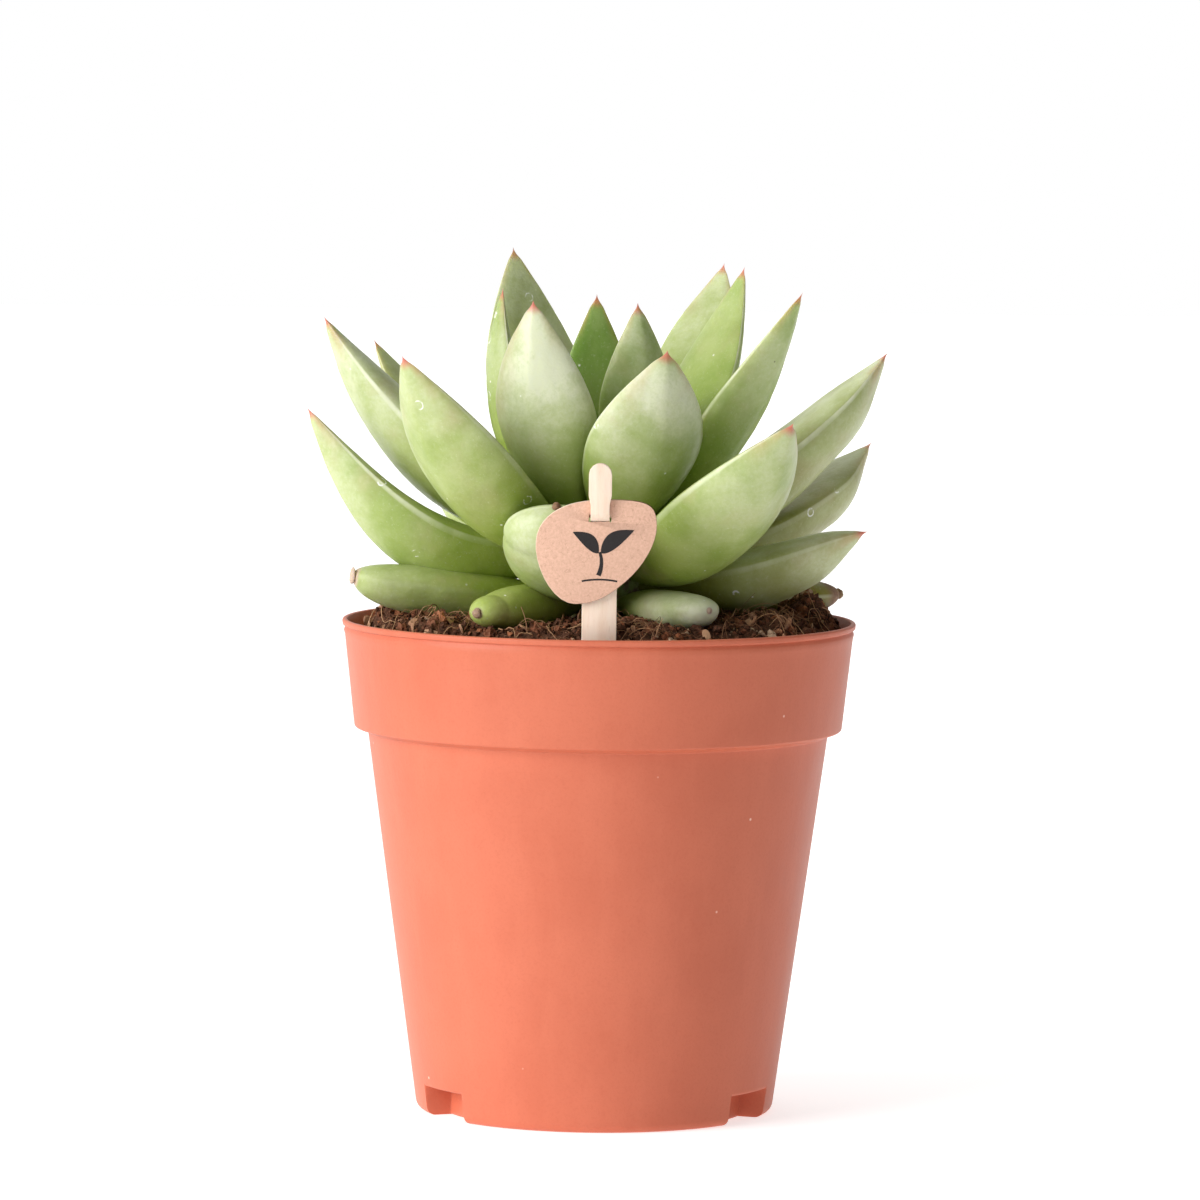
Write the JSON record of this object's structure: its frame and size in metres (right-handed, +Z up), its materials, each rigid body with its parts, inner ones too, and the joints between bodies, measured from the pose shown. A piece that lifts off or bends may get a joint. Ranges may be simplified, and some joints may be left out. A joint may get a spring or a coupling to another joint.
{
  "type": "potted echeveria",
  "caption": "Rosette succulent with thick pointed leaves, growing in soil in a stepped plastic nursery pot, with a blank card plant label on a flat stick.",
  "frame": {"origin": "on the pot's axis, in the plane of the foot ring that it stands on", "axes": "+Z up along the pot's axis; -Y is the front, where the label stands; +X is to the right of someone facing the front"},
  "size_m": [0.1016, 0.09, 0.1502],
  "materials": {
    "pot_plastic": "satin",
    "soil": "matte",
    "stem": "matte",
    "leaf": "satin",
    "label_stick": "matte",
    "label_card": "matte"
  },
  "bodies": {
    "root": {"nursery_pot": "pot_plastic", "potting_soil": "soil", "stem": "stem", "leaf_01": "leaf", "leaf_02": "leaf", "leaf_03": "leaf", "leaf_04": "leaf", "leaf_05": "leaf", "leaf_06": "leaf", "leaf_07": "leaf", "leaf_08": "leaf", "leaf_09": "leaf", "leaf_10": "leaf", "leaf_11": "leaf", "leaf_12": "leaf", "leaf_13": "leaf", "leaf_14": "leaf", "leaf_15": "leaf", "leaf_16": "leaf", "leaf_17": "leaf", "leaf_18": "leaf", "leaf_19": "leaf", "leaf_20": "leaf", "leaf_21": "leaf", "leaf_22": "leaf", "leaf_23": "leaf", "leaf_24": "leaf", "leaf_25": "leaf", "leaf_26": "leaf", "leaf_27": "leaf", "leaf_28": "leaf", "leaf_29": "leaf", "leaf_30": "leaf", "leaf_31": "leaf", "leaf_32": "leaf", "leaf_33": "leaf", "leaf_34": "leaf", "label_stick": "label_stick", "label_card": "label_card"}
  },
  "joints": []
}
